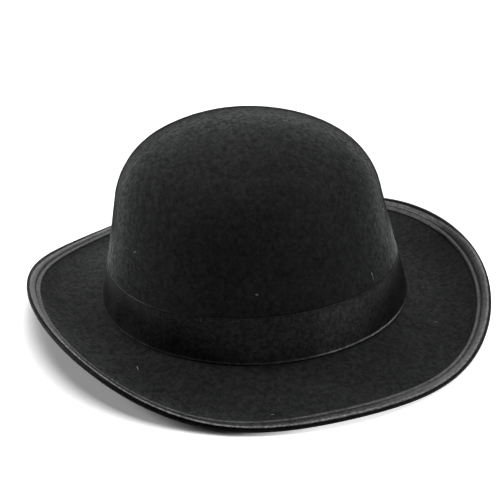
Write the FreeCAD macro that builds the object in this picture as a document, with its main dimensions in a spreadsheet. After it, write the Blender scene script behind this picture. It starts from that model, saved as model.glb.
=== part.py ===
import FreeCAD, Part
import Sketcher
import math
import os

from FreeCAD import Vector

# Bowler hat, millimetres, +Z up, front of the hat towards -Y, wearer's left towards +X.
# Local heights are measured from the break line, where crown and brim meet; every
# sub-part is lifted by the break line's height so that the brim rests on z = 0.

doc = FreeCAD.newDocument("BowlerHat")
sheet = doc.addObject("Spreadsheet::Sheet", "Dimensions")

SIZES = [
    ("break_height", 10.12, "break line above the surface the brim rests on"),
    ("break_half_width", 93.0, "felt outside at the break line, half width"),
    ("break_half_length", 103.5, "felt outside at the break line, half length"),
    ("wall_lean", 12.1, "inward lean of the crown wall, degrees"),
    ("wall_top", 66.8, "height where the straight wall ends"),
    ("shoulder_end", 60.0, "lean of the surface where shoulder becomes top, degrees"),
    ("crown_height", 112.3, "top of the crown above the break line"),
    ("felt_thickness", 2.2, "stiffened fur felt"),
    ("break_fillet", 2.6, "length of the rounded corner at the break line"),
    ("brim_half_width", 136.2, "brim edge, half width"),
    ("brim_half_length", 162.4, "brim edge, half length"),
    ("brim_squareness", -0.010, "fourfold variation of the brim outline"),
    ("brim_skew", -0.005, "one corner pair of the brim reaches further out than the other"),
    ("edge_level", 2.15, "mean height of the brim edge"),
    ("edge_rise", 10.4, "rise of the brim edge at the sides, fall at front and back"),
    ("edge_ripple", 2.6, "fourfold variation of the edge height"),
    ("edge_flutter", -1.0, "sixfold variation of the edge height"),
    ("root_slope_side", -0.05, "brim slope next to the crown, at the sides"),
    ("root_slope_front", -0.22, "brim slope next to the crown, front and back"),
    ("curl_slope_side", 1.05, "brim slope at its edge, at the sides"),
    ("curl_slope_front", 0.02, "brim slope at its edge, front and back"),
    ("binding_width", 7.4, "width of the edge binding on each face of the brim"),
    ("binding_groove", 4.5, "distance of the stitch groove from the felt edge"),
    ("binding_bulk", 0.85, "thickness of the folded ribbon of the binding"),
    ("fit_gap", 0.12, "gap left between neighbouring soft pieces"),
    ("stitch_length", 2.6, "length of one stitch"),
    ("stitch_radius", 0.2, "radius of the sewing thread"),
    ("binding_stitch_count", 240, "stitches around each face of the binding"),
    ("band_bottom", 1.5, "lower edge of the hatband"),
    ("band_top", 25.3, "upper edge of the hatband at the sides"),
    ("band_top_front", 28.0, "upper edge of the hatband at the front and the back"),
    ("band_thickness", 0.6, "hatband ribbon"),
    ("bow_half_length", 29.0, "half length of the flat bow"),
    ("bow_depth", 1.8, "depth of the folded bow"),
    ("bow_turn", 12.0, "turn of the bow from straight left towards the back, degrees"),
    ("wrap_half_width", 6.5, "half width of the ribbon wrapped round the bow"),
    ("wrap_thickness", 0.6, "ribbon wrapped round the bow"),
    ("sweat_bottom", 1.2, "lower edge of the leather sweatband"),
    ("sweat_top", 33.0, "upper edge of the leather sweatband"),
    ("sweat_thickness", 0.9, "sweatband leather"),
    ("sweat_offset", 3.1, "sweatband outside, measured inwards from the felt outside"),
    ("sweat_stitch_count", 150, "stitches along the foot of the sweatband"),
    ("reed_radius", 0.9, "plastic reed in the foot of the sweatband"),
    ("tape_thickness", 0.35, "woven tape wrapped round the reed"),
    ("lining_thickness", 0.35, "satin lining"),
    ("lining_bottom", 12.0, "lower edge of the lining, behind the sweatband"),
    ("lining_offset", 2.45, "lining outside, measured inwards from the felt outside"),
    ("tip_lean", 64.0, "lean of the surface where the lining's tip piece starts, degrees"),
    ("piping_radius", 0.75, "piping cord round the lining's tip piece"),
    ("rear_bow_length", 17.0, "small ribbon bow at the back of the sweatband"),
    ("rear_bow_height", 8.0, "height of the small ribbon bow"),
    ("rear_bow_depth", 1.2, "depth of the small ribbon bow"),
]

for row, (alias, value, note) in enumerate(SIZES, start=1):
    sheet.set("A%d" % row, note)
    sheet.set("B%d" % row, str(value))
    sheet.setAlias("B%d" % row, alias)
doc.recompute()


def size(alias):
    return float(sheet.get(alias))


RING_STATIONS = 64
STATION_ANGLES = [2.0 * math.pi * i / RING_STATIONS for i in range(RING_STATIONS)]
TINY_ANGLE = 1.0e-4


# ---------------------------------------------------------------- the felt's outer surface

def mean_radius():
    return 0.5 * (size("break_half_width") + size("break_half_length"))


def oval(radius, height, angle):
    """Point of the oval ring whose mean radius is given."""
    x_share = size("break_half_width") / mean_radius()
    y_share = size("break_half_length") / mean_radius()
    return Vector(radius * x_share * math.cos(angle), radius * y_share * math.sin(angle), height)


def crown_arcs():
    """Radii of the shoulder arc and of the top arc, which meet tangentially."""
    lean = math.radians(size("wall_lean"))
    end = math.radians(size("shoulder_end"))
    wall_radius = mean_radius() - size("wall_top") * math.tan(lean)
    rise = size("crown_height") - size("wall_top")
    a11 = math.cos(lean) - math.cos(end)
    a12 = math.cos(end)
    a21 = math.sin(end) - math.sin(lean)
    a22 = 1.0 - math.sin(end)
    determinant = a11 * a22 - a12 * a21
    shoulder = (wall_radius * a22 - rise * a12) / determinant
    top = (a11 * rise - a21 * wall_radius) / determinant
    return wall_radius, shoulder, top


def crown_point(lean_degrees):
    """Radius and height of the crown where its surface has the given lean."""
    wall_radius, shoulder, top = crown_arcs()
    start = math.radians(size("wall_lean"))
    lean = math.radians(lean_degrees)
    if lean_degrees <= size("shoulder_end"):
        radius = wall_radius - shoulder * (math.cos(start) - math.cos(lean))
        return radius, size("wall_top") + shoulder * (math.sin(lean) - math.sin(start))
    return top * math.cos(lean), size("crown_height") - top * (1.0 - math.sin(lean))


def wall_point(height):
    """Radius and height of the straight crown wall."""
    return mean_radius() - height * math.tan(math.radians(size("wall_lean"))), height


def crown_profile(highest_lean, lowest_height):
    """Radius and height pairs from the highest point down the crown to the lowest."""
    points = []
    lean = highest_lean
    while lean > size("wall_lean") + 1.0:
        points.append(crown_point(lean))
        lean -= 5.0
    steps = 6
    for i in range(steps + 1):
        height = size("wall_top") + (lowest_height - size("wall_top")) * i / steps
        points.append(wall_point(height))
    return points


def brim_edge(angle):
    swell = 1.0 + size("brim_squareness") * math.cos(4.0 * angle)
    swell += size("brim_skew") * math.sin(2.0 * angle)
    height = size("edge_level")
    height += size("edge_rise") * math.cos(2.0 * angle)
    height += size("edge_ripple") * math.cos(4.0 * angle)
    height += size("edge_flutter") * math.cos(6.0 * angle)
    return Vector(size("brim_half_width") * math.cos(angle) * swell,
                  size("brim_half_length") * math.sin(angle) * swell,
                  height)


def side_to_front(side, front, angle):
    return 0.5 * (side + front) + 0.5 * (side - front) * math.cos(2.0 * angle)


def brim_point(share, angle):
    """Point on the top of the brim; share runs from 0 at the break line to 1 at the edge."""
    root = oval(mean_radius(), 0.0, angle)
    edge = brim_edge(angle)
    reach = math.hypot(edge.x - root.x, edge.y - root.y)
    root_slope = side_to_front(size("root_slope_side"), size("root_slope_front"), angle)
    edge_slope = side_to_front(size("curl_slope_side"), size("curl_slope_front"), angle)
    height = reach * root_slope * share * (1.0 - share) ** 2
    height += edge.z * share * share * (3.0 - 2.0 * share)
    height += reach * edge_slope * share * share * (share - 1.0)
    return Vector(root.x + (edge.x - root.x) * share, root.y + (edge.y - root.y) * share, height)


def break_point(share, angle):
    """Rounded corner between crown wall and brim; share runs from 0 on the wall to 1."""
    length = size("break_fillet")
    wall = oval(*wall_point(length), angle)
    corner = oval(mean_radius(), 0.0, angle)
    reach = (brim_edge(angle) - corner).Length
    brim = brim_point(length / reach, angle)
    return wall * (1.0 - share) ** 2 + corner * (2.0 * share * (1.0 - share)) + brim * share ** 2


def felt_stations():
    """Functions of the angle, one per ring, from near the top of the crown to the brim edge."""
    stations = []
    for radius, height in crown_profile(86.0, size("break_fillet")):
        stations.append(lambda angle, r=radius, h=height: oval(r, h, angle))
    for share in (0.25, 0.5, 0.75, 1.0):
        stations.append(lambda angle, s=share: break_point(s, angle))
    for share in (0.12, 0.2, 0.3, 0.4, 0.5, 0.6, 0.7, 0.78, 0.86, 0.93, 1.0):
        stations.append(lambda angle, s=share: brim_point(s, angle))
    return stations


def surface_normals(stations, angle):
    """Outward normals of the felt's outer surface at every station of one meridian."""
    points = [station(angle) for station in stations]
    normals = []
    for i, station in enumerate(stations):
        before = points[max(i - 1, 0)]
        here = points[i]
        after = points[min(i + 1, len(points) - 1)]
        step_in = (here - before).Length
        step_out = (after - here).Length
        if step_in == 0.0:
            along = after - here
        elif step_out == 0.0:
            along = here - before
        else:
            along = (here - before) * (step_out / step_in) + (after - here) * (step_in / step_out)
        around = station(angle + TINY_ANGLE) - station(angle - TINY_ANGLE)
        normal = along.cross(around)
        normals.append(normal.normalize())
    return normals


def offset_rings(stations, depth):
    """Rings of points at a depth below the surface that the stations describe."""
    columns = []
    for angle in STATION_ANGLES:
        normals = surface_normals(stations, angle)
        columns.append([station(angle) - normal * depth
                        for station, normal in zip(stations, normals)])
    return [list(ring) for ring in zip(*columns)]


# ---------------------------------------------------------------- skins through rings

def periodic_poles(ring):
    """Poles, multiplicities and knots of the closed curve through one ring of points."""
    curve = Part.BSplineCurve()
    parameters = [float(i) for i in range(len(ring) + 1)]
    curve.interpolate(Points=ring, PeriodicFlag=True, Parameters=parameters)
    return curve.getPoles(), curve.getMultiplicities(), curve.getKnots()


def ring_face(rings, apex=None):
    """Face through closed rings; with an apex it starts there with a level tangent."""
    pole_rings = []
    for ring in rings:
        poles, around_mults, around_knots = periodic_poles(ring)
        pole_rings.append(poles)
    if apex is not None:
        pole_rings.insert(0, [apex] * len(pole_rings[0]))
    parameters = [0.0]
    for before, after in zip(pole_rings, pole_rings[1:]):
        spread = sum((b - a).Length for a, b in zip(before, after)) / len(before)
        parameters.append(parameters[-1] + spread)
    columns = []
    for j in range(len(pole_rings[0])):
        column = [poles[j] for poles in pole_rings]
        curve = Part.BSplineCurve()
        if len(column) == 2:
            curve.buildFromPolesMultsKnots(column, [2, 2], parameters, False, 1)
        elif apex is None:
            curve.interpolate(Points=column, Parameters=parameters)
        else:
            level = Vector(column[1].x - apex.x, column[1].y - apex.y, 0.0)
            last = column[-1] - column[-2]
            curve.interpolate(Points=column, Parameters=parameters,
                              InitialTangent=level, FinalTangent=last)
        columns.append(curve)
    first = columns[0]
    pole_grid = [list(row) for row in zip(*[curve.getPoles() for curve in columns])]
    surface = Part.BSplineSurface()
    surface.buildFromPolesMultsKnots(pole_grid, first.getMultiplicities(), around_mults,
                                     first.getKnots(), around_knots, False, True,
                                     first.Degree, 3)
    return surface.toShape()


def solid_from_faces(faces):
    shell = Part.makeShell(faces)
    shell.sewShape()
    solid = Part.makeSolid(Part.Shell(shell.Faces))
    if solid.Volume < 0.0:
        solid.reverse()
    return solid


def add_feature(name, shape):
    feature = doc.addObject("Part::Feature", name)
    feature.Label = name
    feature.Shape = shape
    feature.setExpression("Placement.Base.z", "Dimensions.break_height")
    return feature


def shell_between(stations, outer_depth, inner_depth, with_apex):
    """Solid between two depths of the crown surface, open or closed at the top."""
    outer = offset_rings(stations, outer_depth)
    inner = offset_rings(stations, inner_depth)
    top = size("crown_height")
    outer_apex = Vector(0.0, 0.0, top - outer_depth) if with_apex else None
    inner_apex = Vector(0.0, 0.0, top - inner_depth) if with_apex else None
    faces = [ring_face(outer, outer_apex), ring_face(inner, inner_apex)]
    faces.append(ring_face([outer[-1], inner[-1]]))
    if not with_apex:
        faces.append(ring_face([outer[0], inner[0]]))
    return solid_from_faces(faces)


felt_body = add_feature(
    "felt_body", shell_between(felt_stations(), 0.0, size("felt_thickness"), True))


# ---------------------------------------------------------------- brim binding and its stitches

def edge_frame(angle):
    """Felt edge point, direction out of the brim along its surface, and surface normal."""
    edge = brim_point(1.0, angle)
    outward = (edge - brim_point(0.97, angle)).normalize()
    around = brim_edge(angle + TINY_ANGLE) - brim_edge(angle - TINY_ANGLE)
    normal = outward.cross(around).normalize()
    return edge, outward, normal


OUTER_PART = 0.14


def brim_top(distance, angle):
    """Point on the brim's top at a distance in from its edge, and the normal there."""
    outer_run = (brim_point(1.0, angle) - brim_point(1.0 - OUTER_PART, angle)).Length
    share = 1.0 - OUTER_PART * distance / outer_run
    here = brim_point(share, angle)
    along = brim_point(share + 0.002, angle) - brim_point(share - 0.002, angle)
    around = brim_point(share, angle + TINY_ANGLE) - brim_point(share, angle - TINY_ANGLE)
    return here, along.cross(around).normalize()


def binding_sections(thickness_scale, turn_steps):
    """Functions of the angle that walk across the binding, over the edge and back below."""
    bulk = size("binding_bulk")
    gap = size("fit_gap")
    felt = size("felt_thickness")
    width = size("binding_width")
    groove = size("binding_groove")
    walk = [
        (width, 0.45), (width - 0.6, 0.9), (groove + 1.0, 0.9), (groove, 0.45),
        (groove - 0.9, 0.9), (2.4, 1.0), (1.4, 1.0), (0.6, 1.0),
    ]
    sections = []
    for distance, share in walk:
        lift = gap + bulk * share * thickness_scale
        sections.append(lambda angle, d=distance, h=lift: lifted(d, h, angle))
    half = 0.5 * felt
    radius = half + gap + bulk * thickness_scale
    for i in range(turn_steps + 1):
        turn = math.pi * i / turn_steps
        sections.append(lambda angle, t=turn, r=radius: turned(t, r, half, angle))
    for distance, share in reversed(walk):
        lift = -felt - gap - bulk * share * thickness_scale
        sections.append(lambda angle, d=distance, h=lift: lifted(d, h, angle))
    return sections


def lifted(distance, lift, angle):
    here, normal = brim_top(distance, angle)
    return here + normal * lift


def turned(turn, radius, half, angle):
    edge, outward, normal = edge_frame(angle)
    middle = edge - normal * half
    return middle + outward * (radius * math.sin(turn) * 0.75) + normal * (radius * math.cos(turn))


def rings_of(sections):
    return [[section(angle) for angle in STATION_ANGLES] for section in sections]


binding_outside = rings_of(binding_sections(1.0, 6))
binding_inside = rings_of(binding_sections(0.0, 6))
binding_faces = [
    ring_face(binding_outside),
    ring_face(binding_inside),
    ring_face([binding_outside[0], binding_inside[0]]),
    ring_face([binding_outside[-1], binding_inside[-1]]),
]
brim_binding = add_feature("brim_binding", solid_from_faces(binding_faces))


def thread(start, end):
    """One stitch: a short round thread."""
    radius = size("stitch_radius")
    return Part.makeCylinder(radius, (end - start).Length, start, end - start)


def stitch_row(place, count, share):
    """Stitches along a closed path, each covering a share of its pitch."""
    stitches = []
    for i in range(count):
        start = 2.0 * math.pi * (i + 0.5 - 0.5 * share) / count
        end = 2.0 * math.pi * (i + 0.5 + 0.5 * share) / count
        stitches.append(thread(place(start), place(end)))
    return stitches


stitch_lift = size("fit_gap") + 0.54 * size("binding_bulk") + size("stitch_radius")
binding_stitch_count = int(size("binding_stitch_count"))


def top_stitch(angle):
    return lifted(size("binding_groove"), stitch_lift, angle)


def under_stitch(angle):
    return lifted(size("binding_groove"), -size("felt_thickness") - stitch_lift, angle)


binding_threads = stitch_row(top_stitch, binding_stitch_count, 0.68)
binding_threads += stitch_row(under_stitch, binding_stitch_count, 0.68)
binding_stitches = add_feature("binding_stitches", Part.makeCompound(binding_threads))


# ---------------------------------------------------------------- oval tubes built from lofts

HALF_SIZES = "Dimensions.break_half_width", "Dimensions.break_half_length"


def oval_edge(name, height, inset):
    """Ellipse at a height of the crown wall, inset from the felt outside."""
    edge = doc.addObject("Part::Ellipse", name)
    shrink = "(%s) * tan(Dimensions.wall_lean * 1 deg) + (%s)" % (height, inset)
    edge.setExpression("MajorRadius", "%s - (%s)" % (HALF_SIZES[1], shrink))
    edge.setExpression("MinorRadius", "%s - (%s)" % (HALF_SIZES[0], shrink))
    edge.setExpression("Placement.Base.z", height)
    edge.Placement.Rotation = FreeCAD.Rotation(Vector(0, 0, 1), 90)
    return edge


def oval_block(name, bottom, top, inset):
    """Solid tapered oval block between two heights."""
    block = doc.addObject("Part::Loft", name)
    block.Sections = [oval_edge(name + "_low", bottom, inset), oval_edge(name + "_high", top, inset)]
    block.Solid = True
    block.Ruled = True
    return block


def oval_tube(name, bottom, top, outer_inset, inner_inset):
    """Thin tapered oval tube; the core runs past both ends so that the cut is clean."""
    outer = oval_block(name + "_outer", bottom, top, outer_inset)
    core = oval_block(name + "_core", "(%s) - 1" % bottom, "(%s) + 1" % top, inner_inset)
    tube = doc.addObject("Part::Cut", name)
    tube.Label = name
    tube.Base = outer
    tube.Tool = core
    return tube


SWEAT_OUT = "Dimensions.sweat_offset"
SWEAT_IN = "Dimensions.sweat_offset + Dimensions.sweat_thickness"
sweatband = oval_tube("sweatband", "Dimensions.sweat_bottom", "Dimensions.sweat_top",
                      SWEAT_OUT, SWEAT_IN)


def wall_at(angle, height, outset):
    """Point outside (or, with a negative outset, inside) the crown wall."""
    lean = math.tan(math.radians(size("wall_lean")))
    across = size("break_half_width") - height * lean + outset
    along = size("break_half_length") - height * lean + outset
    return Vector(across * math.cos(angle), along * math.sin(angle), height)


# ---------------------------------------------------------------- hatband and its tacks

def band_upper_edge(angle):
    return side_to_front(size("band_top"), size("band_top_front"), angle)


def band_faces():
    """Four ruled faces: outside, inside, lower edge and upper edge of the ribbon."""
    inner_lift = size("fit_gap")
    outer_lift = inner_lift + size("band_thickness")
    corners = []
    for lift, at_top in ((inner_lift, False), (outer_lift, False), (outer_lift, True), (inner_lift, True)):
        ring = []
        for angle in STATION_ANGLES:
            height = band_upper_edge(angle) if at_top else size("band_bottom")
            ring.append(wall_at(angle, height, lift))
        corners.append(ring)
    faces = []
    for i, ring in enumerate(corners):
        faces.append(ring_face([ring, corners[(i + 1) % len(corners)]]))
    return faces


hatband = add_feature("hatband", solid_from_faces(band_faces()))

# Thread tacks hold the ribbon's upper edge to the felt.
TACK_ANGLES = [50.0, 130.0, 230.0, 310.0]
tacks = []
for degrees in TACK_ANGLES:
    angle = math.radians(degrees)
    lift = size("fit_gap") + size("band_thickness") + size("stitch_radius") + 0.08
    low = wall_at(angle, band_upper_edge(angle) - 2.2, lift)
    high = wall_at(angle, band_upper_edge(angle) - 0.6, lift)
    tacks.append(thread(low, high))
hatband_tacks = add_feature("hatband_tacks", Part.makeCompound(tacks))


# ---------------------------------------------------------------- bow on the wearer's left

def clip_block(name, half_length, bottom, top):
    """Block reaching out to the wearer's left, used to cut the bow from an oval tube."""
    block = doc.addObject("Part::Box", name)
    block.setExpression("Length", "Dimensions.break_half_width * 1.4")
    block.setExpression("Width", "2 * (%s)" % half_length)
    block.setExpression("Height", "(%s) - (%s)" % (top, bottom))
    block.setExpression("Placement.Base.x", "(%s) * sin(Dimensions.bow_turn * 1 deg)" % half_length)
    block.setExpression("Placement.Base.y", "-(%s) * cos(Dimensions.bow_turn * 1 deg)" % half_length)
    block.setExpression("Placement.Base.z", bottom)
    block.setExpression("Placement.Rotation.Angle", "Dimensions.bow_turn")
    return block


def common_of(name, first, second):
    common = doc.addObject("Part::Common", name)
    common.Base = first
    common.Tool = second
    return common


BOW_IN = "-2 * Dimensions.fit_gap - Dimensions.band_thickness"
BOW_OUT = BOW_IN + " - Dimensions.bow_depth"
WRAP_SEAT = BOW_OUT + " - Dimensions.fit_gap"
WRAP_OUT = WRAP_SEAT + " - Dimensions.wrap_thickness"
BOW_LOW = "Dimensions.band_bottom + 0.9"
BOW_HIGH = "Dimensions.band_top - 0.9"

bow_tube = oval_tube("bow_tube", BOW_LOW, BOW_HIGH, BOW_OUT, BOW_IN)
hatband_bow = common_of("hatband_bow", bow_tube,
                        clip_block("bow_clip", "Dimensions.bow_half_length", BOW_LOW, BOW_HIGH))

wrap_tube = oval_tube("wrap_tube", "Dimensions.band_bottom", "Dimensions.band_top", WRAP_OUT, BOW_IN)
wrap_block = common_of("wrap_block", wrap_tube,
                       clip_block("wrap_clip", "Dimensions.wrap_half_width",
                                  "Dimensions.band_bottom", "Dimensions.band_top"))
WRAP_LOW = BOW_LOW + " - Dimensions.fit_gap"
WRAP_HIGH = BOW_HIGH + " + Dimensions.fit_gap"
bow_room = oval_block("bow_room", WRAP_LOW, WRAP_HIGH, WRAP_SEAT)
bow_wrap = doc.addObject("Part::Cut", "bow_wrap")
bow_wrap.Base = wrap_block
bow_wrap.Tool = bow_room

# ---------------------------------------------------------------- foot of the sweatband

def cord_solid(centre, radius):
    """Closed round cord whose centre line is a function of the angle."""
    steps = 6
    faces = []
    for start in (0.0, math.pi):
        rings = []
        for i in range(steps + 1):
            turn = start + math.pi * i / steps
            ring = []
            for angle in STATION_ANGLES:
                middle = centre(angle)
                ahead = centre(angle + TINY_ANGLE) - centre(angle - TINY_ANGLE)
                outward = ahead.cross(Vector(0, 0, 1)).normalize()
                upward = outward.cross(ahead).normalize()
                ring.append(middle + outward * (radius * math.cos(turn)) +
                            upward * (radius * math.sin(turn)))
            rings.append(ring)
        faces.append(ring_face(rings))
    return solid_from_faces(faces)


def reed_centre(angle):
    inset = size("sweat_offset") + 0.5 * size("sweat_thickness")
    drop = size("reed_radius") + size("tape_thickness") + 0.1 + size("fit_gap")
    return wall_at(angle, size("sweat_bottom") - drop, -inset)


sweatband_reed = add_feature("sweatband_reed", cord_solid(reed_centre, size("reed_radius")))
sleeve_inside = size("reed_radius") + 0.1
sleeve = cord_solid(reed_centre, sleeve_inside + size("tape_thickness"))
reed_tape = add_feature("reed_tape", sleeve.cut(cord_solid(reed_centre, sleeve_inside)))

inner_face = size("sweat_offset") + size("sweat_thickness")


def sweat_stitch(angle):
    """Stitches alternate between two heights, as an overlocked row does."""
    height = size("sweat_bottom") + 2.0 + 0.7 * math.sin(angle * size("sweat_stitch_count") * 0.5)
    return wall_at(angle, height, -inner_face - size("stitch_radius") - 0.06)


sweatband_stitches = add_feature(
    "sweatband_stitches",
    Part.makeCompound(stitch_row(sweat_stitch, int(size("sweat_stitch_count")), 0.7)))

# Short level stitches close the sweatband's joint at the back, above the little bow.
seam_threads = []
SEAM_STITCHES = 6
for i in range(SEAM_STITCHES):
    height = 0.55 * size("sweat_top") + 2.4 * i
    lift = -inner_face - size("stitch_radius") - 0.06
    reach = 0.5 * size("stitch_length") / size("break_half_width")
    left = wall_at(0.5 * math.pi - reach, height, lift)
    right = wall_at(0.5 * math.pi + reach, height, lift)
    seam_threads.append(thread(left, right))
sweatband_seam_stitches = add_feature("sweatband_seam_stitches", Part.makeCompound(seam_threads))


# ---------------------------------------------------------------- small bow at the back

def plane_of(body, role):
    return [f for f in body.Origin.OriginFeatures if f.Role == role][0]


rear_bow = doc.addObject("PartDesign::Body", "sweatband_bow")
outline = rear_bow.newObject("Sketcher::SketchObject", "rear_bow_outline")
outline.AttachmentSupport = [(plane_of(rear_bow, "XY_Plane"), "")]
outline.MapMode = "FlatFace"
end_x = 0.5 * size("rear_bow_length")
end_y = 0.5 * size("rear_bow_height")
waist_y = 0.35 * end_y
corners = [
    (-end_x, -end_y), (0.0, -waist_y), (end_x, -end_y),
    (end_x, end_y), (0.0, waist_y), (-end_x, end_y),
]
for i, (x, y) in enumerate(corners):
    next_x, next_y = corners[(i + 1) % len(corners)]
    outline.addGeometry(Part.LineSegment(Vector(x, y, 0), Vector(next_x, next_y, 0)), False)
for i in range(len(corners)):
    outline.addConstraint(Sketcher.Constraint("Coincident", i, 2, (i + 1) % len(corners), 1))
for i, (x, y) in enumerate(corners):
    for kind, value, base in (("DistanceX", x, "rear_bow_length"), ("DistanceY", y, "rear_bow_height")):
        if value == 0.0:
            outline.addConstraint(Sketcher.Constraint("PointOnObject", i, 1, -2))
            continue
        index = outline.addConstraint(Sketcher.Constraint(kind, -1, 1, i, 1, value))
        name = "corner_%d_%s" % (i, kind[-1].lower())
        outline.renameConstraint(index, name)
        outline.setExpression("Constraints." + name,
                              "Dimensions.%s * %.4f" % (base, value / size(base)))
rear_bow_pad = rear_bow.newObject("PartDesign::Pad", "rear_bow_pad")
rear_bow_pad.Profile = outline
rear_bow_pad.setExpression("Length", "Dimensions.rear_bow_depth")
outline.Visibility = False
rear_bow.Tip = rear_bow_pad


# ---------------------------------------------------------------- lining

def profile_stations(profile):
    stations = []
    for radius, height in profile:
        stations.append(lambda angle, r=radius, h=height: oval(r, h, angle))
    return stations


lining_out = size("lining_offset")
lining_in = lining_out + size("lining_thickness")
side_profile = crown_profile(size("tip_lean"), size("lining_bottom"))
lining_side = add_feature(
    "lining_side", shell_between(profile_stations(side_profile), lining_out, lining_in, False))

tip_profile = []
tip_start = size("tip_lean") + 1.2
for i in range(6):
    tip_profile.append(crown_point(86.0 + (tip_start - 86.0) * i / 5))
lining_tip = add_feature(
    "lining_tip", shell_between(profile_stations(tip_profile), lining_out, lining_in, True))


def piping_centre(angle):
    """Just inside the lining, over the seam between its side and its tip piece."""
    stations = profile_stations([crown_point(size("tip_lean") + lean) for lean in (1.2, 0.0)])
    depth = lining_in + size("fit_gap") + size("piping_radius")
    return stations[1](angle) - surface_normals(stations, angle)[1] * depth


lining_piping = add_feature("lining_piping", cord_solid(piping_centre, size("piping_radius")))


# ---------------------------------------------------------------- placements, checks, export

for solid in (sweatband, hatband_bow, bow_wrap):
    solid.Label = solid.Name
    solid.setExpression("Placement.Base.z", "Dimensions.break_height")

rear_height = 0.3 * size("sweat_top")
rear_seat = wall_at(0.5 * math.pi, rear_height, -inner_face - size("fit_gap") - 0.15)
lean_turn = FreeCAD.Rotation(Vector(1, 0, 0), 90.0 + size("wall_lean"))
rear_bow.Placement = FreeCAD.Placement(
    Vector(0.0, rear_seat.y, rear_seat.z + size("break_height")), lean_turn)
doc.recompute()

NODES = [
    felt_body, brim_binding, binding_stitches, hatband, hatband_tacks, hatband_bow, bow_wrap,
    sweatband, sweatband_reed, reed_tape, sweatband_stitches, sweatband_seam_stitches, rear_bow,
    lining_side, lining_tip, lining_piping,
]

for item in doc.Objects:
    if "Invalid" in item.State or "Error" in item.State:
        raise RuntimeError("%s did not compute: %s" % (item.Name, item.State))

os.makedirs("parts", exist_ok=True)
for node in NODES:
    shape = node.Shape
    if shape.isNull() or not shape.isValid() or not shape.Solids:
        raise RuntimeError("%s has no valid solid" % node.Label)
    shape.exportStep("parts/%s.step" % node.Label)
    box = shape.BoundBox
    print("%-24s solids %3d volume %10.1f z %7.2f..%7.2f x %7.1f..%7.1f y %7.1f..%7.1f" % (
        node.Label, len(shape.Solids), shape.Volume, box.ZMin, box.ZMax,
        box.XMin, box.XMax, box.YMin, box.YMax))
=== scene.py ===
import math

import bpy
import numpy as np
from mathutils import Matrix, Vector, noise


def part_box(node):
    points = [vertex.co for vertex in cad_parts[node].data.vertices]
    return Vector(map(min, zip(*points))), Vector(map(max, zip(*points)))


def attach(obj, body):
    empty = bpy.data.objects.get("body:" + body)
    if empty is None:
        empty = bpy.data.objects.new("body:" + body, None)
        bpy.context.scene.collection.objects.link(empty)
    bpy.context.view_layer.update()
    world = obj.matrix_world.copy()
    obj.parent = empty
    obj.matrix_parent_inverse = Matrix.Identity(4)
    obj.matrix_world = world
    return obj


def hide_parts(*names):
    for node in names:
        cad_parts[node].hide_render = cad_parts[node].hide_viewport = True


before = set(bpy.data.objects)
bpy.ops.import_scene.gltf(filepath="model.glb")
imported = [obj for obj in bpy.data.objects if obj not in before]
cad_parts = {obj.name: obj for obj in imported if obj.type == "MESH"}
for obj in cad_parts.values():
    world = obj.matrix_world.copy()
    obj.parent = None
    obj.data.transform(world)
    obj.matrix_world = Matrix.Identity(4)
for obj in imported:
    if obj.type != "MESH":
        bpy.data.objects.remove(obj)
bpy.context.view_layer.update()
rng = np.random.default_rng(11)
MM = 0.001
TAU = 2.0 * math.pi

# -------------------- the hat's shape, in metres

BREAK_HALF = (0.0930, 0.1035)          # felt outside at the break line, half width and half length
MEAN_RADIUS = 0.5 * (BREAK_HALF[0] + BREAK_HALF[1])
BREAK_Z = float(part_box("sweatband")[0][2]) - 1.2 * MM
LEAN = math.radians(12.1)
WALL_TOP = 66.8 * MM
SHOULDER_END = math.radians(60.0)
CROWN_HEIGHT = 112.3 * MM
FELT = 2.2 * MM
FILLET = 2.6 * MM
BRIM_HALF = (0.1362, 0.1624)
SQUARENESS, SKEW = -0.010, -0.005
EDGE_LEVEL, EDGE_RISE = 2.15 * MM, 10.4 * MM
EDGE_RIPPLE, EDGE_FLUTTER = 2.6 * MM, -1.0 * MM
ROOT_SLOPE = (-0.05, -0.22)            # at the sides, at front and back
EDGE_SLOPE = (1.05, 0.02)
BAND_LOW, BAND_SIDE, BAND_FRONT = 1.5 * MM, 25.3 * MM, 28.0 * MM
SWEAT_LOW, SWEAT_HIGH = 1.2 * MM, 33.0 * MM
SWEAT_OUT, SWEAT_IN = 3.1 * MM, 4.0 * MM     # depths inside the felt's outer face
LINING_IN, LINING_LOW = 2.8 * MM, 12.0 * MM
TIP_LEAN = 64.0                        # degrees, where the lining's tip piece starts
BOW_TURN = math.radians(12.0)


def angles(count):
    return np.arange(count) * (TAU / count)


def blend(side, front, phi):
    return 0.5 * (side + front) + 0.5 * (side - front) * np.cos(2.0 * phi)


def oval(radius, height, phi):
    """Points of the oval ring with the given mean radius, height above the break line."""
    radius = np.broadcast_to(radius, phi.shape)
    x = radius * (BREAK_HALF[0] / MEAN_RADIUS) * np.cos(phi)
    y = radius * (BREAK_HALF[1] / MEAN_RADIUS) * np.sin(phi)
    return np.stack([x, y, np.broadcast_to(height, phi.shape) + BREAK_Z], axis=-1)


def wall_at(phi, height, lift):
    """Points a lift outside the crown wall; a negative lift is inside it."""
    shrink = height * math.tan(LEAN) - lift
    x = (BREAK_HALF[0] - shrink) * np.cos(phi)
    y = (BREAK_HALF[1] - shrink) * np.sin(phi)
    return np.stack([x, y, np.broadcast_to(height, phi.shape) + BREAK_Z], axis=-1)


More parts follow.
